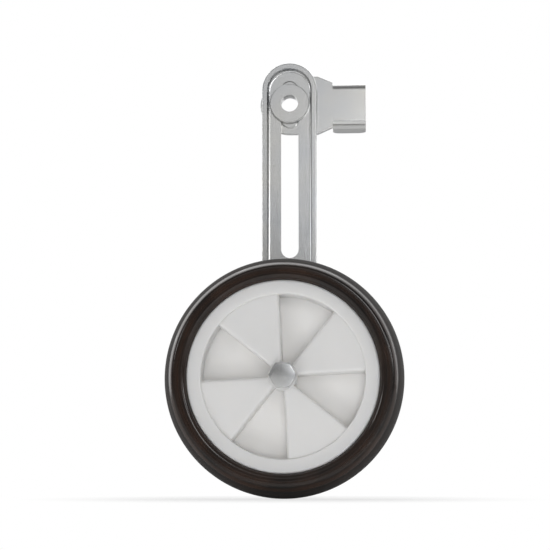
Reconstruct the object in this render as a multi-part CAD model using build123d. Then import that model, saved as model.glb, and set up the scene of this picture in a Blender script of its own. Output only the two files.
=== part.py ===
from build123d import *
import os
from math import cos, radians, sin, tan

# One bicycle training wheel, complete, for the right-hand side of a child's bicycle. A pressed steel arm with
# a long slot is clamped on the rear axle, and a locating plate behind it stops it from turning. The wheel is a
# white moulded hub with a soft black tyre, and it turns on a steel sleeve that a hexagon-head bolt clamps to
# the foot of the arm. The other side of the bicycle takes the mirror image.
#
# Millimetres. +X is the bicycle's direction of travel, +Y points in towards the bicycle and +Z is up. The
# origin lies on the axis of the bicycle's axle, where the locating plate meets the arm. The arm is drawn at its
# longest setting, with the axle at the upper end of the slot.

# Driving dimensions: height setting and the bicycle's axle
height_travel = 80.0             # how far the arm can be raised from the setting for the largest bicycle
axle_hole_diameter = 10.4        # passes the bicycle's axle
slide_gap = 0.1                  # between the arm and what it slides along, before the axle nut is tightened

# Driving dimensions: arm
arm_thickness = 3.0
arm_width = 33.0
arm_lip_height = 8.0             # from the back of the sheet to the rim of the turned lip
arm_corner_radius = 1.6          # inside the fold between sheet and lip
arm_rim_rounding = 0.7           # outer edge of the lip
arm_step = 48.0                  # how much further out the foot stands than the slotted part
arm_step_drop = 42.0             # height that the sloping stretch takes up
arm_bend_radius = 6.0            # at the rim of the lip, inside the first bend
arm_foot_length = 22.0           # second bend down to the wheel's axle
slot_width = 10.5
slot_end_land = 10.0             # sheet left between the top of the slot and the end of the arm
slot_bend_land = 12.0            # sheet left between the foot of the slot and the first bend

# Driving dimensions: locating plate
plate_thickness = 3.0
plate_neck_length = 17.0         # straight stretch in front of the axle
plate_taper_length = 9.0         # narrowing from there to the fork
plate_land = 4.0                 # plate left past the ends of the lugs
plate_edge_rounding = 0.5
fork_gap = 22.0                  # between the two lips that straddle the chain stay
fork_length = 20.0
fork_depth = 13.0                # how far the lips reach past the plate
fork_corner_radius = 1.5         # inside the folds
fork_tip_rounding = 4.0
lug_length = 28.0                # over both lugs that stand in the arm's slot
lug_height = 2.4
lug_clearance = 0.3              # all round, in the slot

# Driving dimensions: washer under the bicycle's axle nut
axle_washer_thickness = 2.5
axle_washer_chamfer = 0.4

# Driving dimensions: wheel axle
bolt_diameter = 8.0
bolt_flats = 13.0                # across the flats, head and nut alike
bolt_head_height = 5.3
bolt_end_length = 2.5            # thread standing out past the nut
bolt_end_chamfer = 0.8
bolt_hole_clearance = 0.2        # round the bolt, in the arm and the washers
thread_clearance = 0.05          # round the bolt, in the nut and its insert
sleeve_bolt_clearance = 0.1      # round the bolt, in the sleeve
sleeve_wall = 0.66
running_clearance = 0.09         # round the sleeve, in the hub
end_play = 0.3                   # at each end of the hub
washer_diameter = 16.0
washer_thickness = 1.6
nut_height = 8.0
nut_collar_height = 1.9          # round collar that holds the insert
nut_collar_wall = 0.8
insert_wall = 1.2
insert_thickness = 1.4
insert_seat_clearance = 0.05
hexagon_chamfer = 0.5            # height of the chamfer at the corners

# Driving dimensions: hub
boss_wall = 2.85
boss_front = 1.0                 # boss standing out past the outer face of the rim
boss_back = 6.0                  # boss standing out past the inner face of the rim
boss_edge_rounding = 0.5
bore_mouth_chamfer = 0.5
rim_diameter = 103.6
rim_width = 26.0
rim_wall = 2.9                   # between the tyre's seat and the web
rim_flange_thickness = 3.0       # each side of the tyre's seat
rim_flange_rounding = 1.2        # edge beside the tyre
rim_mouth_rounding = 0.8         # edge beside the web
tyre_seat_depth = 4.8            # seat below the edge of the rim
panel_recess = 1.2               # web below the outer face of the rim
web_depth = 16.4                 # outer panels to inner panels, with the walls of both
web_wall = 2.4
web_embed = 1.0                  # how far the web runs into the boss and the rim
pocket_count = 4                 # pockets on each side
pocket_angle = 41.5
pocket_turn = 72.25              # middle of the first pocket, counter-clockwise from +X, seen from outside
pocket_mouth_rounding = 1.8

# Driving dimensions: tyre
tyre_overhang = 1.5              # how far each side wall stands out past the rim
tyre_wall_rise = 3.2             # edge of the rim to the flat of the side wall
tyre_wall_flat = 3.3
tyre_shoulder_radius = 2.2
tyre_crown_rise = 4.5            # middle of the tread above the shoulder's own round
tyre_seat_clearance = 0.05

# A face counts as the back or the front of the arm where its normal leans this far along Y
LEAN = 0.1

# Locating plate, arm and washer on the bicycle's axle
lug_width = slot_width - 2 * lug_clearance
plate_radius = lug_length / 2 + plate_land
arm_back_y = -slide_gap
arm_front_y = arm_back_y - arm_thickness
axle_washer_y = arm_front_y - slide_gap
axle_washer_radius = arm_width / 2 - arm_thickness - arm_corner_radius
axle_hole_radius = axle_hole_diameter / 2

# Arm, seen from the side
slot_top_z = lug_length / 2 + lug_clearance
slot_length = lug_length + height_travel + 2 * lug_clearance
slot_bottom_z = slot_top_z - slot_length
slot_middle_z = (slot_top_z + slot_bottom_z) / 2
arm_top_z = slot_top_z + slot_end_land
first_bend_z = slot_bottom_z - slot_bend_land
second_bend_z = first_bend_z - arm_step_drop
wheel_z = second_bend_z - arm_foot_length
arm_bottom_z = wheel_z - arm_width / 2
foot_back_y = arm_back_y - arm_step
foot_front_y = foot_back_y - arm_thickness

# Wheel axle, from the nut through the foot of the arm to the head of the bolt
bolt_radius = bolt_diameter / 2
sleeve_radius = bolt_radius + sleeve_bolt_clearance + sleeve_wall
bore_radius = sleeve_radius + running_clearance
boss_radius = bore_radius + boss_wall
hub_length = boss_back + rim_width + boss_front
sleeve_length = hub_length + 2 * end_play
sleeve_inner_y = foot_front_y - washer_thickness
head_y = sleeve_inner_y - sleeve_length
nut_y = foot_back_y + washer_thickness
nut_end_y = nut_y + nut_height
bolt_length = nut_end_y + bolt_end_length - head_y
wheel_y = sleeve_inner_y - end_play - boss_back - rim_width / 2
insert_radius = bolt_radius + thread_clearance + insert_wall
insert_depth = insert_thickness + insert_seat_clearance
nut_collar_radius = insert_radius + nut_collar_wall

# Hub and tyre, by radius and by half width
rim_radius = rim_diameter / 2
seat_radius = rim_radius - tyre_seat_depth
web_radius = seat_radius - rim_wall
rim_half = rim_width / 2
web_front = rim_half - panel_recess
web_back = web_front - web_depth
seat_half = rim_half - rim_flange_thickness
tyre_half = rim_half + tyre_overhang
flat_radius = rim_radius + tyre_wall_rise
shoulder_radius = flat_radius + tyre_wall_flat
tyre_radius = shoulder_radius + tyre_shoulder_radius + tyre_crown_rise


def pointing_out(shape, y, z):
    """Turns a shape made along +Z to point away from the bicycle, and places it on an axis along Y."""
    return Pos(0, y, z) * (Plane.XZ * shape)


def pointing_in(shape, y, z):
    """Turns a shape made along +Z to point in towards the bicycle, and places it on an axis along Y."""
    return Pos(0, y, z) * (-Plane.XZ * shape)


def ring(y, z, thickness, outer_radius, inner_radius):
    """A flat ring about an axis along Y, from y outwards."""
    disc = Circle(outer_radius) - Circle(inner_radius)
    return pointing_out(extrude(disc, thickness), y, z)


def hexagon(height, chamfered_ends):
    """A hexagon prism along +Z, its corners chamfered at the far end, or at both ends."""
    corner_radius = bolt_flats / 2 / cos(radians(30))
    prism = extrude(RegularPolygon(bolt_flats / 2, 6, major_radius=False), height)
    turning = extrude(Circle(corner_radius), height)
    circles = turning.edges().filter_by(GeomType.CIRCLE).sort_by(Axis.Z)[-chamfered_ends:]
    return prism & chamfer(circles, hexagon_chamfer, hexagon_chamfer / tan(radians(30)))


def side_band(thickness):
    """The arm seen from the side, as a band of the given thickness laid on the line of its back."""
    bend = arm_bend_radius + arm_lip_height
    slope = Vector(arm_step, arm_step_drop).get_angle(Vector(0, 1))
    rise = thickness * tan(radians(slope / 2))
    back = FilletPolyline(
        (arm_back_y, arm_top_z),
        (arm_back_y, first_bend_z),
        (foot_back_y, second_bend_z),
        (foot_back_y, arm_bottom_z),
        radius=[bend, bend],
    )
    front = FilletPolyline(
        (arm_back_y - thickness, arm_top_z),
        (arm_back_y - thickness, first_bend_z + rise),
        (foot_back_y - thickness, second_bend_z + rise),
        (foot_back_y - thickness, arm_bottom_z),
        radius=[bend - thickness, bend + thickness],
    )
    face = make_face(back + front + Line(back @ 0, front @ 0) + Line(back @ 1, front @ 1))
    return extrude(Plane.YZ * face, arm_width, both=True)


def arm_outline(inset):
    """The arm seen from outside, a strip with round ends, drawn in from its edge and cut right through."""
    length = arm_top_z - arm_bottom_z - 2 * inset
    strip = Plane.XZ * SlotOverall(length, arm_width - 2 * inset, rotation=90)
    depth = arm_step + 2 * arm_lip_height
    return extrude(Pos(0, 0, (arm_top_z + arm_bottom_z) / 2) * strip, depth, both=True)


def edges_between(faces, other_faces):
    """The edges where the first faces meet the others."""
    others = other_faces.edges()
    return ShapeList(edge for edge in faces.edges() if any(edge.is_same(other) for other in others))


def rounded(band, towards, radius):
    """Rounds the edges where the back (+1) or the front (-1) of a band meets its sides."""
    broad = band.faces().filter_by(lambda face: face.normal_at().Y * towards > LEAN)
    sides = band.faces().filter_by(lambda face: abs(face.normal_at().Y) < LEAN)
    return fillet(edges_between(broad, sides), radius)


def arm():
    """Pressed steel arm: a slotted sheet, bent out to the wheel, with its edge turned up all round."""
    outside = arm_outline(0) & side_band(arm_lip_height)
    outside = rounded(outside, 1, arm_corner_radius + arm_thickness)
    outside = rounded(outside, -1, arm_rim_rounding)
    hollow = arm_outline(arm_thickness) & (side_band(arm_lip_height) - side_band(arm_thickness))
    hollow = rounded(hollow, 1, arm_corner_radius)
    slot = Plane.XZ * SlotOverall(slot_length, slot_width, rotation=90)
    slot = extrude(Pos(0, 0, slot_middle_z) * slot, arm_lip_height, both=True)
    hole = Plane.XZ * Circle(bolt_radius + bolt_hole_clearance)
    hole = extrude(Pos(0, foot_back_y, wheel_z) * hole, arm_lip_height, both=True)
    return outside - hollow - slot - hole


def fork(half_gap):
    """Folded end of the locating plate, a channel along +X with rounded tips that straddles the chain stay."""
    depth = plate_thickness + fork_depth
    block = Pos(depth / 2, 0) * Rectangle(depth, 2 * (half_gap + plate_thickness))
    block = fillet(block.vertices().group_by(Axis.X)[0], fork_corner_radius + plate_thickness)
    space = Pos(plate_thickness + depth / 2, 0) * Rectangle(depth, 2 * half_gap)
    space = fillet(space.vertices().group_by(Axis.X)[0], fork_corner_radius)
    channel = extrude(Plane.YZ * (block - space), fork_length)
    tips = channel.edges().filter_by(Axis.Z).group_by(Axis.Y)[-1]
    return fillet(tips, fork_tip_rounding)


def locating_plate():
    """Steel plate against the bicycle's frame, with lugs in the arm's slot and a fork over the chain stay."""
    fork_x = plate_neck_length + plate_taper_length
    fork_half = fork_gap / 2 + plate_thickness
    rear = ThreePointArc((0, -plate_radius), (-plate_radius, 0), (0, plate_radius))
    front = Polyline(
        (0, plate_radius),
        (plate_neck_length, plate_radius),
        (fork_x, fork_half),
        (fork_x, -fork_half),
        (plate_neck_length, -plate_radius),
        (0, -plate_radius),
    )
    plate = extrude(Plane.XZ * make_face(rear + front), -plate_thickness)
    fork_side = plate.faces().sort_by(Axis.X)[-1:].edges()
    outline = plate.edges().filter_by(Axis.Y, reverse=True)
    outline = outline.filter_by(lambda edge: not any(edge.is_same(other) for other in fork_side))
    plate = fillet(outline, plate_edge_rounding)
    lugs = extrude(Plane.XZ * SlotOverall(lug_length, lug_width, rotation=90), lug_height)
    hole = extrude(Plane.XZ * Circle(axle_hole_radius), plate_thickness + lug_height, both=True)
    return plate + Pos(fork_x, 0, 0) * fork(fork_gap / 2) + lugs - hole


def axle_washer():
    """Thick washer under the bicycle's axle nut, its outer edges chamfered."""
    washer = extrude(Circle(axle_washer_radius), axle_washer_thickness)
    washer = chamfer(washer.edges().filter_by(GeomType.CIRCLE), axle_washer_chamfer)
    washer -= extrude(Circle(axle_hole_radius), axle_washer_thickness)
    return pointing_out(washer, axle_washer_y, 0)


def bolt_washer(y):
    """Plain washer on the wheel's bolt, from y outwards."""
    return ring(y, wheel_z, washer_thickness, washer_diameter / 2, bolt_radius + bolt_hole_clearance)


def axle_bolt():
    """Hexagon-head bolt through the sleeve and the foot of the arm."""
    head = pointing_out(hexagon(bolt_head_height, 1), head_y, wheel_z)
    shank = extrude(Circle(bolt_radius), bolt_length)
    shank = chamfer(shank.edges().group_by(Axis.Z)[-1], bolt_end_chamfer)
    return head + pointing_in(shank, head_y, wheel_z)


def axle_sleeve():
    """Plain steel tube that the hub turns on, clamped between the bolt's head and the washer on the arm."""
    return ring(sleeve_inner_y, wheel_z, sleeve_length, sleeve_radius, bolt_radius + sleeve_bolt_clearance)


def lock_nut():
    """Hexagon nut whose round collar holds a nylon ring."""
    nut = hexagon(nut_height - nut_collar_height, 2)
    nut += Pos(0, 0, nut_height - nut_collar_height) * extrude(Circle(nut_collar_radius), nut_collar_height)
    nut -= extrude(Circle(bolt_radius + thread_clearance), nut_height)
    nut -= Pos(0, 0, nut_height - insert_depth) * extrude(Circle(insert_radius), insert_depth)
    return pointing_in(nut, nut_y, wheel_z)


def lock_nut_insert():
    """Nylon ring in the collar of the nut."""
    outer_radius = insert_radius - insert_seat_clearance
    return ring(nut_end_y, wheel_z, insert_thickness, outer_radius, bolt_radius + thread_clearance)


def boss_outline():
    """Half of the boss cut along its axis, as (radius, distance outwards) points."""
    middle = Pos((bore_radius + boss_radius) / 2, (boss_front - boss_back) / 2)
    boss = middle * Rectangle(boss_wall, hub_length)
    boss = fillet(boss.vertices().group_by(Axis.X)[-1], boss_edge_rounding)
    return chamfer(boss.vertices().group_by(Axis.X)[0], bore_mouth_chamfer)


def rim_outline():
    """Half of the rim cut along its axis: two flanges with the tyre's seat between them."""
    rim = make_face(
        Polyline(
            (web_radius, -rim_half),
            (rim_radius, -rim_half),
            (rim_radius, -seat_half),
            (seat_radius, -seat_half),
            (seat_radius, seat_half),
            (rim_radius, seat_half),
            (rim_radius, rim_half),
            (web_radius, rim_half),
            close=True,
        )
    )
    by_width = rim.vertices().group_by(Axis.Y)
    outer_corners = [level.sort_by(Axis.X)[-1] for level in (by_width[0], by_width[-1])]
    rim = fillet(outer_corners, rim_flange_rounding)
    return fillet(rim.vertices().group_by(Axis.X)[0], rim_mouth_rounding)


def pocket(half_angle, edge_inset):
    """One pocket of the web: a wedge that opens along +X, with its two sides drawn in by a wall."""
    apex = Vector(edge_inset / sin(radians(half_angle)), 0)
    upper = Vector(rim_radius, rim_radius * tan(radians(half_angle)))
    lower = Vector(upper.X, -upper.Y)
    wedge = make_face(Polyline(apex, apex + lower, apex + upper, close=True))
    return extrude(wedge, web_depth - web_wall)


def web():
    """Corrugated web between boss and rim, with pockets that face out and in by turns."""
    pitch = 360 / pocket_count
    disc = Circle(web_radius + web_embed) - Circle(boss_radius - web_embed)
    block = Pos(0, 0, web_back) * extrude(disc, web_depth)
    outer_pocket = Pos(0, 0, web_back + web_wall) * pocket(pocket_angle / 2, 0.0)
    inner_pocket = Pos(0, 0, web_back) * pocket((pitch - pocket_angle) / 2, web_wall)
    for index in range(pocket_count):
        turn = pocket_turn + index * pitch
        block -= Rot(0, 0, turn) * outer_pocket
        block -= Rot(0, 0, turn + pitch / 2) * inner_pocket
    levels = block.edges().filter_by(GeomType.LINE).group_by(Axis.Z)
    return fillet(levels[0] + levels[-1], pocket_mouth_rounding)


def wheel_hub():
    """White moulded hub: boss, corrugated web, and rim with a seat for the tyre."""
    turned = revolve(Plane.XZ * boss_outline(), Axis.Z) + revolve(Plane.XZ * rim_outline(), Axis.Z)
    return pointing_out(turned + web(), wheel_y, wheel_z)


def tyre():
    """Soft black ring stretched over the rim, with flat side walls, close shoulders and a domed plain tread."""
    foot_radius = rim_radius + tyre_seat_clearance
    inner_radius = seat_radius + tyre_seat_clearance
    root_half = seat_half - tyre_seat_clearance
    foot_half = rim_half - rim_flange_rounding
    rise = tyre_radius - shoulder_radius
    shoulder_half = tyre_half - tyre_shoulder_radius
    crown_radius = (rise**2 + shoulder_half**2 - tyre_shoulder_radius**2) / (2 * tyre_crown_rise)
    crown_centre = Vector(tyre_radius - crown_radius, 0)
    to_edge = (Vector(shoulder_radius, shoulder_half) - crown_centre).normalized()
    edge = crown_centre + to_edge * crown_radius
    root = Polyline(
        (inner_radius, 0),
        (inner_radius, root_half),
        (foot_radius, root_half),
        (foot_radius, foot_half),
    )
    swell = TangentArc((flat_radius, tyre_half), (foot_radius, foot_half), tangent=(-1, 0))
    flat = Line((flat_radius, tyre_half), (shoulder_radius, tyre_half))
    shoulder = TangentArc((shoulder_radius, tyre_half), edge, tangent=(1, 0))
    tread = TangentArc(edge, (tyre_radius, 0), tangent=(to_edge.Y, -to_edge.X))
    middle = Line((tyre_radius, 0), (inner_radius, 0))
    half = make_face(root + swell + flat + shoulder + tread + middle)
    outline = half + mirror(half, Plane.XZ)
    return pointing_out(revolve(Plane.XZ * outline, Axis.Z), wheel_y, wheel_z)


sub_parts = {
    "arm": arm(),
    "locating_plate": locating_plate(),
    "axle_washer": axle_washer(),
    "axle_bolt": axle_bolt(),
    "axle_sleeve": axle_sleeve(),
    "hub_washer": bolt_washer(foot_front_y),
    "nut_washer": bolt_washer(nut_y),
    "lock_nut": lock_nut(),
    "lock_nut_insert": lock_nut_insert(),
    "wheel_hub": wheel_hub(),
    "tyre": tyre(),
}

os.makedirs("parts", exist_ok=True)
for name, shape in sub_parts.items():
    export_step(shape, f"parts/{name}.step")
print(f"wheel axis at y {wheel_y:.2f}, z {wheel_z:.2f}; tyre radius {tyre_radius:.2f}")
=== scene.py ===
"""Finishes, fine detail, light and camera for a child's bicycle training wheel."""

import logging
import math
from dataclasses import dataclass
from enum import Enum
from typing import Mapping, Optional, Sequence, Union

import bmesh
import bpy
from mathutils import Euler, Matrix, Vector


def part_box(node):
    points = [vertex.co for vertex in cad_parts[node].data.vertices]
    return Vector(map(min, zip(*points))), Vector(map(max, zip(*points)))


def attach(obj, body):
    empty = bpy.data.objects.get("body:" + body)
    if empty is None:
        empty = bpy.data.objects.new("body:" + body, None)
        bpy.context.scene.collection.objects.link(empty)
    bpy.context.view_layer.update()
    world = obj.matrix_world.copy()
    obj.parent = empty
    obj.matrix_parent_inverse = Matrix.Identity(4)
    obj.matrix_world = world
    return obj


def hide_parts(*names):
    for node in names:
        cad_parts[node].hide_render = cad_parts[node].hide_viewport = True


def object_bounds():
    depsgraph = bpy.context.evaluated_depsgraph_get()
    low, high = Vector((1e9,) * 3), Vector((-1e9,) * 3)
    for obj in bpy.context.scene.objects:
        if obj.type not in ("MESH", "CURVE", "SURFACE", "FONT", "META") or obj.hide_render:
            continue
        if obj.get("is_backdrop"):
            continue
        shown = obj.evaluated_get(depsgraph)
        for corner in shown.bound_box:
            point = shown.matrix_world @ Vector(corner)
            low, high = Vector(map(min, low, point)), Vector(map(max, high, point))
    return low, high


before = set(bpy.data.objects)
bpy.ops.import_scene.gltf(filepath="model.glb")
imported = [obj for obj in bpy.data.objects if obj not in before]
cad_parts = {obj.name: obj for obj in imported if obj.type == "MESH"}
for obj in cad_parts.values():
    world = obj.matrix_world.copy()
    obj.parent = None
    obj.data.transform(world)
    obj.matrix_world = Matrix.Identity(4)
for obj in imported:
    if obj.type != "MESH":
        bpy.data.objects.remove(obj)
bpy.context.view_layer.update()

MM = 0.001
IMAGE_SIZE = 550
WHITE = (1.0, 1.0, 1.0, 1.0)

# Sockets of a Mix node that blends colors.
MIX_FACTOR, MIX_FIRST, MIX_SECOND, MIX_RESULT = 0, 6, 7, 2

# Distances within which points are merged, in metres.
RING_MERGE = 1e-7
MESH_MERGE = 1e-6

# Angles between faces: below the first they are one flat, past the second their edge is eased,
# and past the others it is shaded sharp.
FLAT_ANGLE = math.radians(0.5)
EASED_ANGLE = math.radians(20.0)
CREASE_ANGLE = math.radians(50.0)
RING_CREASE_ANGLE = math.radians(38.0)

EASING_STEPS = 4
QUARTER_TURN = 90.0

log = logging.getLogger("training_wheel")

Color = tuple[float, float, float]
Outline = list[tuple[float, float]]
Feed = Union[float, int, bool, str, Sequence[float], bpy.types.ID, "Wire"]


class Body(Enum):
    """Rigid bodies that the new pieces ride on."""

    ARM = "arm"
    WHEEL = "wheel"


class Slot(Enum):
    """Names of the record's material slots for the new pieces; the script does not use them."""

    ZINC = "zinc_plated_steel"
    NYLON = "nylon"
    TYRE = "tyre"


@dataclass(frozen=True)
class Noise:
    """A cloudy pattern: clouds in a metre, and how many finer layers are added."""

    scale: float
    detail: float = 2.0


@dataclass(frozen=True)
class Relief:
    """A fine relief: the real height of a value of 1, in metres, and the share of it that shows."""

    depth: float
    strength: float


class Wire:
    """An output socket of a node tree, so that node maths reads as Python expressions."""

    def __init__(self, tree: "Tree", socket: bpy.types.NodeSocket) -> None:
        """Keeps the tree that new nodes go into and the socket itself."""
        self.tree = tree
        self.socket = socket

    def maths(self, operation: str, *values: Feed) -> "Wire":
        """Adds one Math node.

        Args:
            operation: name of the Math node's operation.
            values: its operands, in order.

        Returns:
            The node's result.
        """
        return self.tree.node("ShaderNodeMath", {"operation": operation}, dict(enumerate(values)))

    def sibling(self, name: str) -> "Wire":
        """Another output of the same node."""
        return Wire(self.tree, self.socket.node.outputs[name])

    def __add__(self, other: Feed) -> "Wire":
        """Adds a value."""
        return self.maths("ADD", self, other)

    def __radd__(self, other: Feed) -> "Wire":
        """Is added to a value."""
        return self.maths("ADD", other, self)

    def __sub__(self, other: Feed) -> "Wire":
        """Takes a value away."""
        return self.maths("SUBTRACT", self, other)

    def __rsub__(self, other: Feed) -> "Wire":
        """Is taken away from a value."""
        return self.maths("SUBTRACT", other, self)

    def __mul__(self, other: Feed) -> "Wire":
        """Multiplies by a value."""
        return self.maths("MULTIPLY", self, other)

    def __rmul__(self, other: Feed) -> "Wire":
        """Multiplies a value."""
        return self.maths("MULTIPLY", other, self)

    def __truediv__(self, other: Feed) -> "Wire":
        """Divides by a value."""
        return self.maths("DIVIDE", self, other)

    def root(self) -> "Wire":
        """Square root."""
        return self.maths("SQRT", self)

    def cosine(self) -> "Wire":
        """Cosine, of radians."""
        return self.maths("COSINE", self)

    def sine(self) -> "Wire":
        """Sine, of radians."""
        return self.maths("SINE", self)

    def least(self, other: Feed) -> "Wire":
        """The smaller of this and another value."""
        return self.maths("MINIMUM", self, other)

    def zigzag(self, length: Feed) -> "Wire":
        """Runs up to a length and back again."""
        return self.maths("PINGPONG", self, length)


class Tree:
    """A node tree, for a material, the world or a Geometry Nodes recipe."""

    def __init__(self, nodes: bpy.types.NodeTree) -> None:
        """Empties the tree and keeps it."""
        self.tree = nodes
        self.tree.nodes.clear()

    def node(
        self,
        kind: str,
        settings: Optional[Mapping[str, str]] = None,
        inputs: Optional[Mapping[Union[int, str], Feed]] = None,
        output: Union[int, str] = 0,
    ) -> Wire:
        """Adds a node.

        Args:
            kind: the node's type name.
            settings: its own properties, set first.
            inputs: values or links for its sockets, by name or by number.
            output: which of its outputs to give back.

        Returns:
            The chosen output, or the first input where a node has no outputs.
        """
        node = self.tree.nodes.new(kind)
        for name, value in (settings or {}).items():
            setattr(node, name, value)
        for key, value in (inputs or {}).items():
            if isinstance(value, Wire):
                self.tree.links.new(value.socket, node.inputs[key])
            else:
                node.inputs[key].default_value = value
        return Wire(self, node.outputs[output] if len(node.outputs) else node.inputs[0])

    def place(self) -> Wire:
        """Object coordinates, in metres."""
        return self.node("ShaderNodeTexCoord", output="Object")

    def axes(self, vector: Wire) -> tuple[Wire, Wire, Wire]:
        """The three coordinates of a vector."""
        split = self.node("ShaderNodeSeparateXYZ", None, {"Vector": vector}, "X")
        return split, split.sibling("Y"), split.sibling("Z")

    def noise(self, vector: Wire, pattern: Noise) -> Wire:
        """Cloudy values about 0.5.

        Args:
            vector: where to read the pattern.
            pattern: its scale and detail.

        Returns:
            The values.
        """
        inputs = {"Vector": vector, "Scale": pattern.scale, "Detail": pattern.detail}
        return self.node("ShaderNodeTexNoise", None, inputs)

    def stretch(
        self, vector: Wire, scale: Color, centre: Sequence[float] = (0.0, 0.0, 0.0)
    ) -> Wire:
        """Moves a point to the origin and stretches a pattern about it.

        Args:
            vector: coordinates to change.
            scale: factor along each axis.
            centre: point that becomes the origin.

        Returns:
            The changed coordinates.
        """
        moved = [-part * factor for part, factor in zip(centre, scale)]
        inputs = {"Vector": vector, "Location": moved, "Scale": scale}
        return self.node("ShaderNodeMapping", None, inputs)

    def step(self, value: Wire, start: float, end: float, low: float = 0.0) -> Wire:
        """A soft step up to 1.

        Args:
            value: what the step follows.
            start: value at which it begins.
            end: value at which it ends.
            low: level before it.

        Returns:
            The step.
        """
        settings = {"interpolation_type": "SMOOTHSTEP"}
        inputs = {"Value": value, "From Min": start, "From Max": end, "To Min": low}
        return self.node("ShaderNodeMapRange", settings, inputs)

    def blend(self, factor: Wire, first: Color, second: Color) -> Wire:
        """A color between two others.

        Args:
            factor: 0 for the first color and 1 for the second.
            first: color at 0.
            second: color at 1.

        Returns:
            The mixed color.
        """
        inputs = {MIX_FACTOR: factor, MIX_FIRST: (*first, 1.0), MIX_SECOND: (*second, 1.0)}
        return self.node("ShaderNodeMix", {"data_type": "RGBA"}, inputs, MIX_RESULT)

    def bump(self, height: Wire, relief: Relief) -> Wire:
        """A normal from a height.

        Args:
            height: value over the surface, 0 to about 1.
            relief: its depth and strength.

        Returns:
            The bent normal.
        """
        inputs = {"Strength": relief.strength, "Distance": relief.depth, "Height": height}
        return self.node("ShaderNodeBump", None, inputs)

    def surface(self, **inputs: Feed) -> Wire:
        """A Principled shader; an input's name is written with underscores for spaces."""
        named = {name.replace("_", " "): value for name, value in inputs.items()}
        return self.node("ShaderNodeBsdfPrincipled", None, named)


@dataclass(frozen=True)
class Finish:
    """A finish of the wheel's pieces, made into a Blender material by its paint method."""

    name: str
    color: Color

    def darker(self, tone: float) -> Color:
        """The finish's color, times a tone."""
        return tuple(part * tone for part in self.color)

    def paint(self, tree: Tree) -> Wire:
        """Builds the finish's shader in a tree and gives it back."""
        raise NotImplementedError

    def material(self) -> bpy.types.Material:
        """Makes the material.

        Returns:
            The new material.
        """
        material = bpy.data.materials.new(self.name)
        material.use_nodes = True
        tree = Tree(material.node_tree)
        tree.node("ShaderNodeOutputMaterial", None, {"Surface": self.paint(tree)})
        return material


@dataclass(frozen=True)
class MouldedPlastic(Finish):
    """White, slightly translucent plastic with a soft sheen, faint flow clouds and a fine skin."""

    flow: Noise = Noise(38.0, 3.0)
    flow_tone: float = 0.955
    flow_dulling: float = 0.10
    skin: Noise = Noise(420.0)
    grain: Noise = Noise(3200.0, 1.0)
    grain_dulling: float = 0.05
    grain_height: float = 0.5
    relief: Relief = Relief(0.04 * MM, 0.35)
    sheen: float = 0.34
    refraction: float = 1.49
    bleed: float = 6.5 * MM
    bleed_tint: Color = (1.0, 0.97, 0.92)

    def paint(self, tree: Tree) -> Wire:
        """Builds the plastic.

        Args:
            tree: the material's empty tree.

        Returns:
            The shader.
        """
        place = tree.place()
        flow = tree.noise(place, self.flow)
        skin = tree.noise(place, self.skin)
        grain = tree.noise(place, self.grain)
        return tree.surface(
            Base_Color=tree.blend(flow, self.darker(self.flow_tone), self.color),
            Roughness=self.sheen + self.flow_dulling * flow + self.grain_dulling * grain,
            Normal=tree.bump(skin + self.grain_height * grain, self.relief),
            IOR=self.refraction,
            Subsurface_Weight=1.0,
            Subsurface_Radius=self.bleed_tint,
            Subsurface_Scale=self.bleed,
        )


@dataclass(frozen=True)
class TyreCompound(Finish):
    """Soft black compound: glossy wall with faint brown turning marks; dull tread with painted
    shade.
    """

    centre: Vector
    brown: Color = (0.034, 0.017, 0.010)
    lathe: Noise = Noise(900.0)
    lathe_brown: float = 1.5
    lathe_dulling: float = 0.09
    band: Noise = Noise(320.0)
    band_brown: float = 2.5
    cloud: Noise = Noise(60.0, 3.0)
    cloud_brown: float = 1.5
    cloud_dulling: float = 0.05
    least_brown: float = 2.25
    speck: Noise = Noise(1500.0)
    speck_height: float = 0.3
    relief: Relief = Relief(0.06 * MM, 0.25)
    gloss: float = 0.08
    refraction: float = 1.55
    tread_start: float = 61.0 * MM
    tread_end: float = 62.0 * MM
    tread_dullness: float = 0.75
    # Share of the brown marks taken off the tread: painted shade that darkens the tread's outer
    # band.
    tread_painted_shade: float = 0.6

    def paint(self, tree: Tree) -> Wire:
        """Builds the compound, whose marks run round the wheel's axis.

        Args:
            tree: the material's empty tree.

        Returns:
            The shader.
        """
        place = tree.stretch(tree.place(), (1.0, 1.0, 1.0), self.centre)
        across, along, up = tree.axes(place)
        radius = (across * across + up * up).root()
        section = tree.node("ShaderNodeCombineXYZ", None, {"X": radius, "Y": along})
        tread = tree.step(radius, self.tread_start, self.tread_end)
        lathe = tree.noise(section, self.lathe)
        band = tree.noise(section, self.band)
        cloud = tree.noise(place, self.cloud)
        speck = tree.noise(place, self.speck)
        marks = self.cloud_brown * cloud + self.lathe_brown * lathe + self.band_brown * band
        # Painted shade: the brown marks fade out over the tread, so the tread is darker.
        brown = (marks - self.least_brown) * (1.0 - self.tread_painted_shade * tread)
        wall = self.gloss + self.lathe_dulling * lathe + self.cloud_dulling * cloud
        return tree.surface(
            Base_Color=tree.blend(brown, self.color, self.brown),
            Roughness=wall + (self.tread_dullness - self.gloss) * tread,
            Normal=tree.bump(lathe + self.speck_height * speck, self.relief),
            IOR=self.refraction,
        )


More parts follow.
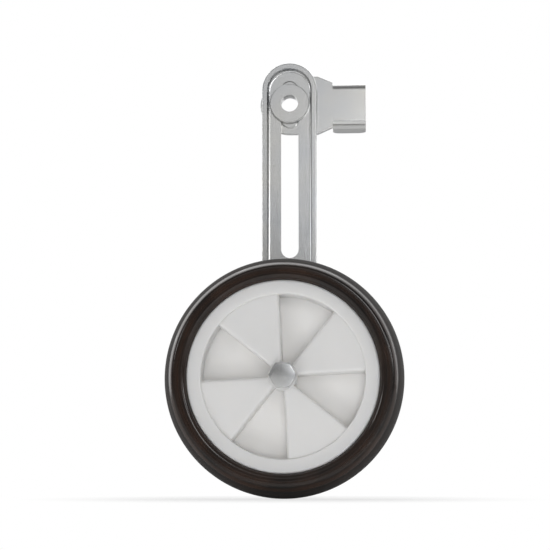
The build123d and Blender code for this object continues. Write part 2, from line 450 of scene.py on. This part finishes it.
@dataclass(frozen=True)
class ZincPlate(Finish):
    """Bright zinc plate on rolled steel: faint rolling lines, and a tint from blue to straw."""

    straw: Color = (0.74, 0.72, 0.67)
    tint: Noise = Noise(34.0)
    tint_dulling: float = 0.08
    rolled: Noise = Noise(900.0)
    rolled_scale: Color = (1.0, 1.0, 0.06)
    rolled_dulling: float = 0.10
    frost: Noise = Noise(2400.0)
    frost_height: float = 0.6
    relief: Relief = Relief(0.03 * MM, 0.30)
    roughness: float = 0.15

    def paint(self, tree: Tree) -> Wire:
        """Builds the plating.

        Args:
            tree: the material's empty tree.

        Returns:
            The shader.
        """
        place = tree.place()
        tint = tree.noise(place, self.tint)
        rolled = tree.noise(tree.stretch(place, self.rolled_scale), self.rolled)
        frost = tree.noise(place, self.frost)
        return tree.surface(
            Base_Color=tree.blend(tint, self.color, self.straw),
            Metallic=1.0,
            Roughness=self.roughness + self.rolled_dulling * rolled + self.tint_dulling * tint,
            Normal=tree.bump(rolled + self.frost_height * frost, self.relief),
        )


@dataclass(frozen=True)
class DrawnTube(Finish):
    """Plain steel tube with fine drawing lines along it."""

    drawn: Noise = Noise(1600.0)
    drawn_scale: Color = (1.0, 0.03, 1.0)
    drawn_tone: float = 0.8
    drawn_dulling: float = 0.15
    relief: Relief = Relief(0.03 * MM, 0.3)
    roughness: float = 0.30

    def paint(self, tree: Tree) -> Wire:
        """Builds the tube's steel.

        Args:
            tree: the material's empty tree.

        Returns:
            The shader.
        """
        drawn = tree.noise(tree.stretch(tree.place(), self.drawn_scale), self.drawn)
        return tree.surface(
            Base_Color=tree.blend(drawn, self.darker(self.drawn_tone), self.color),
            Metallic=1.0,
            Roughness=self.roughness + self.drawn_dulling * drawn,
            Normal=tree.bump(drawn, self.relief),
        )


@dataclass(frozen=True)
class NaturalNylon(Finish):
    """Milky nylon ring, slightly uneven."""

    cloud: Noise = Noise(700.0)
    cloud_tone: float = 0.88
    cloud_dulling: float = 0.1
    relief: Relief = Relief(0.04 * MM, 0.3)
    roughness: float = 0.42

    def paint(self, tree: Tree) -> Wire:
        """Builds the nylon.

        Args:
            tree: the material's empty tree.

        Returns:
            The shader.
        """
        cloud = tree.noise(tree.place(), self.cloud)
        return tree.surface(
            Base_Color=tree.blend(cloud, self.darker(self.cloud_tone), self.color),
            Roughness=self.roughness + self.cloud_dulling * cloud,
            Normal=tree.bump(cloud, self.relief),
        )


class Recipe:
    """A Geometry Nodes tree with named inputs, run once for each piece that it makes."""

    def __init__(self, name: str, inputs: Mapping[str, str]) -> None:
        """Makes an empty recipe.

        Args:
            name: name of the tree.
            inputs: input names, each with its socket type.
        """
        group = bpy.data.node_groups.new(name, "GeometryNodeTree")
        self.tree = Tree(group)
        group.interface.new_socket("Geometry", in_out="OUTPUT", socket_type="NodeSocketGeometry")
        self.sockets = {
            label: group.interface.new_socket(label, in_out="INPUT", socket_type=kind).identifier
            for label, kind in inputs.items()
        }
        self.entry = group.nodes.new("NodeGroupInput")

    def given(self, label: str) -> Wire:
        """One of the recipe's inputs."""
        return Wire(self.tree, self.entry.outputs[label])

    def finish(self, mesh: Wire, crease: float) -> None:
        """Ends the recipe: smooth shading with sharp creases, one material, no instances.

        Args:
            mesh: what has been built.
            crease: angle in radians past which an edge stays sharp.
        """
        angle = self.tree.node("GeometryNodeInputMeshEdgeAngle")
        sharp = angle.maths("GREATER_THAN", angle, crease)
        smooth = self.tree.node("GeometryNodeSetShadeSmooth", None, {"Geometry": mesh})
        inputs = {"Geometry": smooth, "Selection": sharp, "Shade Smooth": False}
        edged = self.tree.node("GeometryNodeSetShadeSmooth", {"domain": "EDGE"}, inputs)
        real = self.tree.node("GeometryNodeRealizeInstances", None, {"Geometry": edged})
        inputs = {"Geometry": real, "Material": self.given("Material")}
        done = self.tree.node("GeometryNodeSetMaterial", None, inputs)
        self.tree.node("NodeGroupOutput", None, {"Geometry": done})

    def run(self, name: str, values: Mapping[str, Feed]) -> bpy.types.Object:
        """Runs the recipe and keeps its result as a plain mesh at the origin.

        Args:
            name: name of the new piece.
            values: a value for each input.

        Returns:
            The piece.
        """
        piece = bpy.data.objects.new(name, bpy.data.meshes.new(name))
        bpy.context.scene.collection.objects.link(piece)
        modifier = piece.modifiers.new(name, "NODES")
        modifier.node_group = self.tree.tree
        for label, value in values.items():
            modifier[self.sockets[label]] = value
        depsgraph = bpy.context.evaluated_depsgraph_get()
        made = bpy.data.meshes.new_from_object(piece.evaluated_get(depsgraph))
        piece.modifiers.remove(modifier)
        empty, piece.data = piece.data, made
        bpy.data.meshes.remove(empty)
        made.name = name
        return piece


class TurnedRing(Recipe):
    """Turns a closed outline of radii and outward distances round an axis along Y."""

    def __init__(self) -> None:
        """Builds the tree: the outline is laid along a circle, and the circle on the axis."""
        super().__init__(
            "turned_ring",
            {
                "Outline": "NodeSocketObject",
                "Path radius": "NodeSocketFloat",
                "Segments": "NodeSocketInt",
                "Centre": "NodeSocketVector",
                "Material": "NodeSocketMaterial",
            },
        )
        tree = self.tree
        inputs = {"Resolution": self.given("Segments"), "Radius": self.given("Path radius")}
        circle = tree.node("GeometryNodeCurvePrimitiveCircle", {"mode": "RADIUS"}, inputs)
        inputs = {"Object": self.given("Outline")}
        outline = tree.node("GeometryNodeObjectInfo", None, inputs, "Geometry")
        inputs = {"Curve": circle, "Profile Curve": outline}
        ring = tree.node("GeometryNodeCurveToMesh", None, inputs)
        turn = (math.pi / 2, 0.0, 0.0)
        inputs = {"Geometry": ring, "Translation": self.given("Centre"), "Rotation": turn}
        self.finish(tree.node("GeometryNodeTransform", None, inputs), RING_CREASE_ANGLE)

    def make(
        self,
        name: str,
        outline: Outline,
        centre: Vector,
        segments: int,
        material: bpy.types.Material,
    ) -> bpy.types.Object:
        """Makes one turned piece.

        Args:
            name: name of the piece.
            outline: corners in order, as (radius, distance outwards from the centre), in metres.
            centre: point on the axis.
            segments: facets round the axis.
            material: its finish.

        Returns:
            The piece.
        """
        path = sum(radius for radius, _ in outline) / len(outline)
        curve = bpy.data.curves.new(name + "_outline", "CURVE")
        curve.dimensions = "3D"
        spline = curve.splines.new("POLY")
        spline.points.add(len(outline) - 1)
        for point, (radius, outwards) in zip(spline.points, outline):
            point.co = (radius - path, -outwards, 0.0, 1.0)
        spline.use_cyclic_u = True
        holder = bpy.data.objects.new(name + "_outline", curve)
        bpy.context.scene.collection.objects.link(holder)
        values = {
            "Outline": holder,
            "Path radius": path,
            "Segments": segments,
            "Centre": tuple(centre),
            "Material": material,
        }
        piece = self.run(name, values)
        bpy.data.objects.remove(holder)
        bpy.data.curves.remove(curve)
        return outward(piece)


class RolledThread(Recipe):
    """A rolled screw thread, as a sheet wrapped round its axis whose radius follows the helix."""

    points_round: int = 73
    points_along: int = 97
    flank_steepness: float = 1.25

    def __init__(self) -> None:
        """Builds the tree: each point of a grid gets its angle, height and radius of the thread."""
        super().__init__(
            "rolled_thread",
            {
                "Radius": "NodeSocketFloat",
                "Depth": "NodeSocketFloat",
                "Pitch": "NodeSocketFloat",
                "Length": "NodeSocketFloat",
                "Tip": "NodeSocketFloat",
                "Centre": "NodeSocketVector",
                "Material": "NodeSocketMaterial",
            },
        )
        tree = self.tree
        length = self.given("Length")
        inputs = {
            "Size X": math.tau,
            "Size Y": length,
            "Vertices X": self.points_round,
            "Vertices Y": self.points_along,
        }
        grid = tree.node("GeometryNodeMeshGrid", None, inputs)
        angle, along, _ = tree.axes(tree.node("GeometryNodeInputPosition"))
        height = along + length * 0.5
        turns = height / self.given("Pitch") - angle / math.tau
        flank = turns.zigzag(0.5) * 2.0
        crest = (flank * self.flank_steepness).least(1.0)
        radius = self.given("Radius") - self.given("Depth") * (1.0 - crest)
        radius = radius.least(self.given("Radius") - self.given("Tip") + (length - height))
        inputs = {"X": radius * angle.cosine(), "Y": radius * angle.sine(), "Z": height}
        wrapped = tree.node("ShaderNodeCombineXYZ", None, inputs)
        inputs = {"Geometry": grid, "Position": wrapped}
        sheet = tree.node("GeometryNodeSetPosition", None, inputs)
        inputs = {"Geometry": sheet, "Distance": MESH_MERGE}
        sheet = tree.node("GeometryNodeMergeByDistance", None, inputs)
        turn = (-math.pi / 2, 0.0, 0.0)
        inputs = {"Geometry": sheet, "Translation": self.given("Centre"), "Rotation": turn}
        self.finish(tree.node("GeometryNodeTransform", None, inputs), CREASE_ANGLE)


def outward(piece: bpy.types.Object) -> bpy.types.Object:
    """Turns a closed mesh's faces outwards, with its doubles merged.

    Args:
        piece: the piece to change.

    Returns:
        The same piece.
    """
    work = bmesh.new()
    work.from_mesh(piece.data)
    bmesh.ops.remove_doubles(work, verts=work.verts, dist=RING_MERGE)
    bmesh.ops.recalc_face_normals(work, faces=work.faces)
    work.to_mesh(piece.data)
    work.free()
    return piece


def arc(
    centre: tuple[float, float], radius: float, start: float, end: float, steps: int
) -> Outline:
    """Points on an arc.

    Args:
        centre: its centre.
        radius: its radius.
        start: first angle in degrees.
        end: last angle in degrees.
        steps: how many pieces it is cut into.

    Returns:
        The points, both ends included.
    """
    x, y = centre
    angles = [math.radians(start + (end - start) * step / steps) for step in range(steps + 1)]
    return [(x + radius * math.cos(angle), y + radius * math.sin(angle)) for angle in angles]


def eased_ring(inner: float, outer: float, near: float, far: float, easing: float) -> Outline:
    """Outline of a flat ring with rounded edges.

    Args:
        inner: radius of its hole.
        outer: its outer radius.
        near: distance outwards of its inner face.
        far: distance outwards of its outer face.
        easing: radius of its edges.

    Returns:
        The outline.
    """
    points: Outline = []
    for turn, (radius, height) in enumerate(
        ((outer, far), (inner, far), (inner, near), (outer, near))
    ):
        side = -1.0 if radius == outer else 1.0
        level = -1.0 if height == far else 1.0
        centre = (radius + side * easing, height + level * easing)
        start = turn * QUARTER_TURN
        points += arc(centre, easing, start, start + QUARTER_TURN, EASING_STEPS)
    return points


def dress(node: str, material: bpy.types.Material) -> None:
    """Gives a CAD node its finish.

    Args:
        node: the CAD node.
        material: its finish.
    """
    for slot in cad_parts[node].material_slots:
        slot.material = material
    log.info("%s is dressed in %s", node, material.name)


def stand_for(piece: bpy.types.Object, node: str, body: Body) -> None:
    """Lets a finished piece stand for a CAD node.

    Args:
        piece: the piece, at the origin.
        node: the CAD node that it replaces.
        body: the body that it rides on.
    """
    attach(piece, body.value)
    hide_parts(node)
    log.info("%s stands for %s, %d faces", piece.name, node, len(piece.data.polygons))


def eased_copy(
    node: str, name: str, width: float, material: bpy.types.Material
) -> bpy.types.Object:
    """Copies a CAD node's mesh with its sharp edges eased.

    Args:
        node: CAD node to copy.
        name: name of the copy.
        width: width of the easing, in metres.
        material: its finish.

    Returns:
        The new piece.
    """
    mesh = bpy.data.meshes.new(name)
    work = bmesh.new()
    work.from_mesh(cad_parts[node].data)
    bmesh.ops.remove_doubles(work, verts=work.verts, dist=MESH_MERGE)
    bmesh.ops.dissolve_limit(
        work, angle_limit=FLAT_ANGLE, verts=work.verts, edges=work.edges, delimit={"NORMAL"}
    )
    inner_edges = [edge for edge in work.edges if edge.is_manifold]
    sharp = [edge for edge in inner_edges if edge.calc_face_angle() > EASED_ANGLE]
    bmesh.ops.bevel(
        work,
        geom=sharp,
        offset=width,
        segments=2,
        profile=0.5,
        affect="EDGES",
        clamp_overlap=True,
    )
    work.to_mesh(mesh)
    work.free()
    for layer in ("custom_normal", "sharp_edge", "sharp_face"):
        if layer in mesh.attributes:
            mesh.attributes.remove(mesh.attributes[layer])
    mesh.shade_smooth()
    mesh.set_sharp_from_angle(angle=CREASE_ANGLE)
    piece = bpy.data.objects.new(name, mesh)
    bpy.context.scene.collection.objects.link(piece)
    mesh.materials.clear()
    mesh.materials.append(material)
    return piece


@dataclass
class Wheel:
    """White hub and black tyre, which turn together."""

    centre: Vector
    rim_radius: float = 51.8 * MM
    rim_half: float = 13.0 * MM
    rim_rounding: float = 1.2 * MM
    seat_radius: float = 47.05 * MM
    seat_half: float = 9.95 * MM
    seat_gap: float = 0.05 * MM
    tyre_half: float = 14.5 * MM
    wall_rise: float = 3.2 * MM
    wall_flat: float = 3.3 * MM
    wall_steps: int = 8
    line_depth: float = 0.16 * MM
    line_half: float = 0.30 * MM
    line_section: tuple[tuple[float, float], ...] = (
        (-1.0, 0.0),
        (-0.5, 1.0),
        (0.5, 1.0),
        (1.0, 0.0),
    )
    shoulder: float = 2.2 * MM
    shoulder_steps: int = 8
    crown_rise: float = 4.5 * MM
    crown_steps: int = 22
    seam_height: float = 0.22 * MM
    seam_half: float = 0.55 * MM
    seam_crest: float = 0.45
    segments: int = 320

    def tyre_side(self) -> Outline:
        """Outer half of the tyre's outline, from the rim's edge to the seam along the tread.

        Returns:
            Points as (radius, distance outwards from the wheel's middle).
        """
        foot = (self.rim_radius + self.seat_gap, self.rim_half - self.rim_rounding)
        flat = self.rim_radius + self.wall_rise
        edge = flat + self.wall_flat
        radius = edge + self.shoulder + self.crown_rise
        rise, reach = flat - foot[0], self.tyre_half - foot[1]
        swell = (rise**2 + reach**2) / (2 * reach)
        lean = math.degrees(math.atan2(swell - reach, rise))
        top = (flat, self.tyre_half - swell)
        side = arc(top, swell, 2 * QUARTER_TURN - lean, QUARTER_TURN, self.wall_steps)
        middle = (flat + edge) / 2
        for offset, depth in self.line_section:
            outwards = self.tyre_half - depth * self.line_depth
            side.append((middle + offset * self.line_half, outwards))
        half = self.tyre_half - self.shoulder
        height = radius - edge
        crown = (height**2 + half**2 - self.shoulder**2) / (2 * self.crown_rise)
        tilt = math.degrees(math.atan2(half, edge - (radius - crown)))
        side += arc((edge, half), self.shoulder, QUARTER_TURN, tilt, self.shoulder_steps)
        seam = math.degrees(math.asin(self.seam_half / crown))
        side += arc((radius - crown, 0.0), crown, tilt, seam, self.crown_steps)[1:]
        side.append((radius + self.seam_height, self.seam_half * self.seam_crest))
        return side

    def tyre_outline(self) -> Outline:
        """The tyre's whole outline, closed round its seat on the rim.

        Returns:
            Points as (radius, distance outwards from the wheel's middle).
        """
        rim = self.rim_radius + self.seat_gap
        seat = [(self.seat_radius, self.seat_half), (rim, self.seat_half)]
        outer = seat + self.tyre_side()
        return outer + [(radius, -outwards) for radius, outwards in reversed(outer)]

    def build(
        self, rings: TurnedRing, plastic: bpy.types.Material, compound: bpy.types.Material
    ) -> None:
        """Dresses the hub and builds the tyre.

        Args:
            rings: recipe for turned pieces.
            plastic: finish of the hub.
            compound: finish of the tyre.
        """
        dress("wheel_hub", plastic)
        dress("tyre", compound)
        outline = self.tyre_outline()
        tyre = rings.make("moulded_tyre", outline, self.centre, self.segments, compound)
        stand_for(tyre, "tyre", Body.WHEEL)


@dataclass
class WheelAxle:
    """Bolt, sleeve, washers and lock nut that hold the wheel on the arm."""

    axis_z: float
    foot_front_y: float = -51.1 * MM
    nut_face_y: float = -46.5 * MM
    nut_end_y: float = -38.5 * MM
    nut_easing: float = 0.22 * MM
    washer_thickness: float = 1.6 * MM
    washer_radius: float = 8.0 * MM
    washer_hole: float = 4.2 * MM
    washer_easing: float = 0.35 * MM
    insert_radius: float = 5.2 * MM
    insert_hole: float = 4.05 * MM
    insert_thickness: float = 1.4 * MM
    insert_easing: float = 0.25 * MM
    ring_segments: int = 96
    bolt_end_y: float = -36.0 * MM
    bolt_radius: float = 4.0 * MM
    thread_length: float = 9.0 * MM
    thread_pitch: float = 1.25 * MM
    thread_depth: float = 0.62 * MM
    thread_tip: float = 0.8 * MM

    def at(self, y: float) -> Vector:
        """A point on the wheel's axis."""
        return Vector((0.0, y, self.axis_z))

    def bolt(self, thread: RolledThread, zinc: bpy.types.Material) -> bpy.types.Object:
        """Builds the bolt: an eased head, a plain shank and a rolled thread at its end.

        Args:
            thread: recipe for the thread.
            zinc: its finish.

        Returns:
            The bolt.
        """
        piece = eased_copy("axle_bolt", "threaded_bolt", self.nut_easing, zinc)
        start = self.bolt_end_y - self.thread_length
        work = bmesh.new()
        work.from_mesh(piece.data)
        bmesh.ops.bisect_plane(
            work,
            geom=work.verts[:] + work.edges[:] + work.faces[:],
            plane_co=(0.0, start, 0.0),
            plane_no=(0.0, 1.0, 0.0),
            clear_outer=True,
        )
        values = {
            "Radius": self.bolt_radius,
            "Depth": self.thread_depth,
            "Pitch": self.thread_pitch,
            "Length": self.thread_length,
            "Tip": self.thread_tip,
            "Centre": tuple(self.at(start)),
            "Material": zinc,
        }
        turned = thread.run("bolt_thread", values)
        work.from_mesh(turned.data)
        open_edges = [edge for edge in work.edges if edge.is_boundary]
        tip = [edge for edge in open_edges if edge.verts[0].co.y > self.nut_end_y]
        bmesh.ops.holes_fill(work, edges=tip, sides=0)
        work.to_mesh(piece.data)
        work.free()
        bpy.data.objects.remove(turned)
        return piece

    def build(
        self,
        rings: TurnedRing,
        thread: RolledThread,
        zinc: bpy.types.Material,
        tube: bpy.types.Material,
        nylon: bpy.types.Material,
    ) -> None:
        """Builds the fasteners and dresses the sleeve.

        Args:
            rings: recipe for turned pieces.
            thread: recipe for the bolt's thread.
            zinc: finish of bolt, nut and washers.
            tube: finish of the sleeve.
            nylon: finish of the nut's ring.
        """
        for node in ("axle_bolt", "hub_washer", "nut_washer", "lock_nut"):
            dress(node, zinc)
        dress("axle_sleeve", tube)
        dress("lock_nut_insert", nylon)
        stand_for(self.bolt(thread, zinc), "axle_bolt", Body.ARM)
        nut = eased_copy("lock_nut", "eased_lock_nut", self.nut_easing, zinc)
        stand_for(nut, "lock_nut", Body.ARM)
        washer = eased_ring(
            self.washer_hole, self.washer_radius, 0.0, self.washer_thickness, self.washer_easing
        )
        for node, y in (("hub_washer", self.foot_front_y), ("nut_washer", self.nut_face_y)):
            piece = rings.make("punched_" + node, washer, self.at(y), self.ring_segments, zinc)
            stand_for(piece, node, Body.ARM)
        ring = eased_ring(
            self.insert_hole, self.insert_radius, 0.0, self.insert_thickness, self.insert_easing
        )
        centre = self.at(self.nut_end_y)
        insert = rings.make("nylon_ring", ring, centre, self.ring_segments, nylon)
        stand_for(insert, "lock_nut_insert", Body.ARM)


@dataclass
class Bracket:
    """Arm, locating plate and axle washer, which keep their CAD shapes."""

    nodes: tuple[str, ...] = ("arm", "locating_plate", "axle_washer")

    def build(self, zinc: bpy.types.Material) -> None:
        """Gives the steel pieces their plating."""
        for node in self.nodes:
            dress(node, zinc)


@dataclass(frozen=True)
class Softbox:
    """A soft lamp, placed by its clock angle round the wheel and its lean from the outer side.

    Its width runs round the wheel, and its height across that.
    """

    name: str
    clock: float
    lean: float
    distance: float
    width: float
    height: float
    radiance: float

    def build(self, target: Vector) -> None:
        """Hangs the lamp and points it at a target.

        Args:
            target: the wheel's centre.
        """
        clock, lean = math.radians(self.clock), math.radians(self.lean)
        side = Vector((math.cos(clock), 0.0, math.sin(clock))) * math.sin(lean)
        away = side + Vector((0.0, -math.cos(lean), 0.0))
        round_wheel = Vector((-math.sin(clock), 0.0, math.cos(clock)))
        data = bpy.data.lights.new(self.name, "AREA")
        data.shape = "RECTANGLE"
        data.size, data.size_y = self.width, self.height
        data.energy = self.radiance * math.pi * self.width * self.height
        lamp = bpy.data.objects.new(self.name, data)
        lamp.location = target + away * self.distance
        turn = Matrix((round_wheel, away.cross(round_wheel), away)).transposed()
        lamp.rotation_euler = turn.to_euler()
        lamp.visible_camera = False
        bpy.context.scene.collection.objects.link(lamp)


@dataclass
class Studio:
    """Pale floor, white surroundings, soft lamps and the camera."""

    wheel: Vector
    floor_z: float
    floor_size: float = 8.0
    floor_tone: float = 0.86
    floor_white: float = 0.70
    shadow_reach: tuple[float, float] = (0.05, 0.15)
    front_level: float = 0.17
    side_level: float = 0.40
    backdrop_span: tuple[float, float] = (-0.6, 0.4)
    camera_offset: tuple[float, float, float] = (0.041, -0.785, -0.053)
    lens: float = 94.7
    sensor: float = 36.0
    wheel_pixel: tuple[float, float] = (284.0, 377.4)
    # Name, clock angle, lean, distance, width, height and radiance of each lamp.
    lamps: tuple[Softbox, ...] = (
        Softbox("key_low_left", 238.0, 42.0, 1.00, 0.40, 0.44, 3.85),
        Softbox("camera_fill", 300.0, 15.0, 1.00, 0.28, 0.28, 6.2),
        Softbox("front_top_right", 48.0, 20.0, 1.20, 0.30, 0.30, 3.8),
        Softbox("front_left", 157.0, 42.0, 1.10, 0.20, 0.20, 5.2),
        Softbox("front_right", 18.0, 42.0, 1.10, 0.20, 0.20, 5.2),
        Softbox("sheen_panel", 93.0, 26.0, 1.21, 0.60, 0.44, 0.45),
        Softbox("edge_right", 0.0, 116.0, 0.88, 0.68, 0.28, 2.20),
        Softbox("edge_upper_right", 45.0, 116.0, 0.88, 0.68, 0.28, 1.90),
        Softbox("edge_top", 90.0, 116.0, 0.88, 0.68, 0.28, 2.10),
        Softbox("edge_upper_left", 135.0, 116.0, 0.88, 0.68, 0.28, 1.90),
        Softbox("edge_left", 180.0, 116.0, 0.88, 0.68, 0.28, 2.20),
    )

    def floor(self) -> None:
        """Lays a pale floor that lets lamps through, white to the camera but for near shadows."""
        half = self.floor_size / 2
        mesh = bpy.data.meshes.new("floor")
        corners = [(-half, -half), (half, -half), (half, half), (-half, half)]
        mesh.from_pydata([(x, y, self.floor_z) for x, y in corners], [], [(0, 1, 2, 3)])
        floor = bpy.data.objects.new("floor", mesh)
        floor.visible_shadow = False
        bpy.context.scene.collection.objects.link(floor)
        material = bpy.data.materials.new("pale_floor")
        material.use_nodes = True
        tree = Tree(material.node_tree)
        near = tree.stretch(tree.place(), (1.0, 1.0, 0.0), self.wheel)
        settings = {"operation": "LENGTH"}
        distance = tree.node("ShaderNodeVectorMath", settings, {0: near}, "Value")
        whiteness = tree.step(distance, *self.shadow_reach, self.floor_white)
        tone = self.floor_tone
        pale = tree.node("ShaderNodeBsdfDiffuse", None, {"Color": (tone, tone, tone, 1.0)})
        white = tree.node("ShaderNodeEmission", None, {"Color": WHITE, "Strength": 1.0})
        seen = tree.node("ShaderNodeLightPath", output="Is Camera Ray")
        mixed = tree.node("ShaderNodeMixShader", None, {0: seen * whiteness, 1: pale, 2: white})
        tree.node("ShaderNodeOutputMaterial", None, {"Surface": mixed})
        mesh.materials.append(material)
        floor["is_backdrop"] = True

    def surroundings(self) -> None:
        """Makes the world white to the camera, and to gloss behind the wheel; softer in front."""
        world = bpy.data.worlds.new("studio")
        world.use_nodes = True
        bpy.context.scene.world = world
        tree = Tree(world.node_tree)
        _, backwards, _ = tree.axes(tree.node("ShaderNodeTexCoord", output="Generated"))
        behind = tree.step(backwards, *self.backdrop_span)
        level = self.front_level + (self.side_level - self.front_level) * behind
        soft = tree.node("ShaderNodeBackground", None, {"Color": WHITE, "Strength": level})
        white = tree.node("ShaderNodeBackground", None, {"Color": WHITE, "Strength": 1.0})
        camera = tree.node("ShaderNodeLightPath", output="Is Camera Ray")
        glossy, through = camera.sibling("Is Glossy Ray"), camera.sibling("Is Transmission Ray")
        seen = camera + (glossy + through) * behind
        mixed = tree.node("ShaderNodeMixShader", None, {0: seen, 1: soft, 2: white})
        tree.node("ShaderNodeOutputWorld", None, {"Surface": mixed})

    def camera(self) -> None:
        """Stands the camera low, a little to the right, with the wheel at its place in the image."""
        data = bpy.data.cameras.new("camera")
        data.lens, data.sensor_width = self.lens, self.sensor
        camera = bpy.data.objects.new("camera", data)
        camera.location = self.wheel + Vector(self.camera_offset)
        focal = self.lens / data.sensor_width * IMAGE_SIZE
        right = (self.wheel_pixel[0] - IMAGE_SIZE / 2) / focal
        above = (IMAGE_SIZE / 2 - self.wheel_pixel[1]) / focal
        towards = (self.wheel - camera.location).normalized()
        reach = math.sqrt(1 + right**2 + above**2)
        pitch = math.asin(towards.z * reach / math.sqrt(1 + above**2)) - math.atan(above)
        bearing = math.atan2(right, math.cos(pitch) - above * math.sin(pitch))
        yaw = math.atan2(towards.x, towards.y) - bearing
        camera.rotation_euler = Euler((math.pi / 2 + pitch, 0.0, -yaw))
        bpy.context.scene.collection.objects.link(camera)
        bpy.context.scene.camera = camera

    def build(self) -> None:
        """Sets up the whole studio."""
        self.floor()
        self.surroundings()
        for lamp in self.lamps:
            lamp.build(self.wheel)
        self.camera()
        bpy.context.scene.view_settings.view_transform = "Standard"


def wheel_centre() -> Vector:
    """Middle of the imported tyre, which lies on the wheel's axis."""
    low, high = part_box("tyre")
    return (low + high) / 2


def main() -> None:
    """Builds the sub-assemblies in order, then the studio round them."""
    logging.basicConfig(level=logging.INFO, format="%(name)s: %(message)s")
    centre = wheel_centre()
    zinc = ZincPlate("bright_zinc_plate", (0.64, 0.67, 0.72)).material()
    tube = DrawnTube("drawn_steel_tube", (0.56, 0.56, 0.57)).material()
    nylon = NaturalNylon("natural_nylon", (0.80, 0.80, 0.75)).material()
    plastic = MouldedPlastic("white_moulded_plastic", (0.82, 0.812, 0.80)).material()
    compound = TyreCompound("black_tyre_compound", (0.003, 0.0025, 0.002), centre).material()
    rings = TurnedRing()
    thread = RolledThread()
    Bracket().build(zinc)
    WheelAxle(centre.z).build(rings, thread, zinc, tube, nylon)
    Wheel(centre).build(rings, plastic, compound)
    Studio(centre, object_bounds()[0].z).build()


if __name__ == "__main__":
    main()
